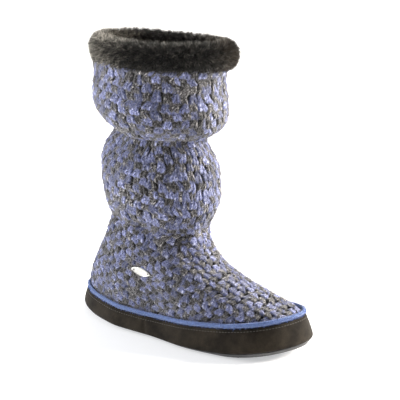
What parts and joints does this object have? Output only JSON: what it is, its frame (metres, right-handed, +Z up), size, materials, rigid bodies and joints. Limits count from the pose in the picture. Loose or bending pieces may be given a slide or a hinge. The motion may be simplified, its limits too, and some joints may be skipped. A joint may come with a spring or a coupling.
{
  "type": "slipper boot",
  "caption": "Knitted slipper boot with two slouch folds, a fur collar, a suede foxing with soft piping, and a thin rubber sole; right foot.",
  "frame": {"origin": "on the floor under the middle of the heel", "axes": "+X towards the toe, +Y towards the inner side of the foot, +Z up"},
  "size_m": [0.262, 0.1377, 0.2928],
  "materials": {
    "rubber": "matt, grained",
    "suede": "napped suede",
    "fleece_cord": "soft brushed cord",
    "knit": "chunky two-colour knit",
    "fur": "dense short fur",
    "cushion": "fleece-covered foam",
    "brushed_metal": "brushed, blank"
  },
  "bodies": {
    "root": {"outsole": "rubber", "foxing": "suede", "insole": "cushion", "piping": "fleece_cord", "upper": "knit", "collar": "fur", "badge": "brushed_metal"}
  },
  "joints": []
}
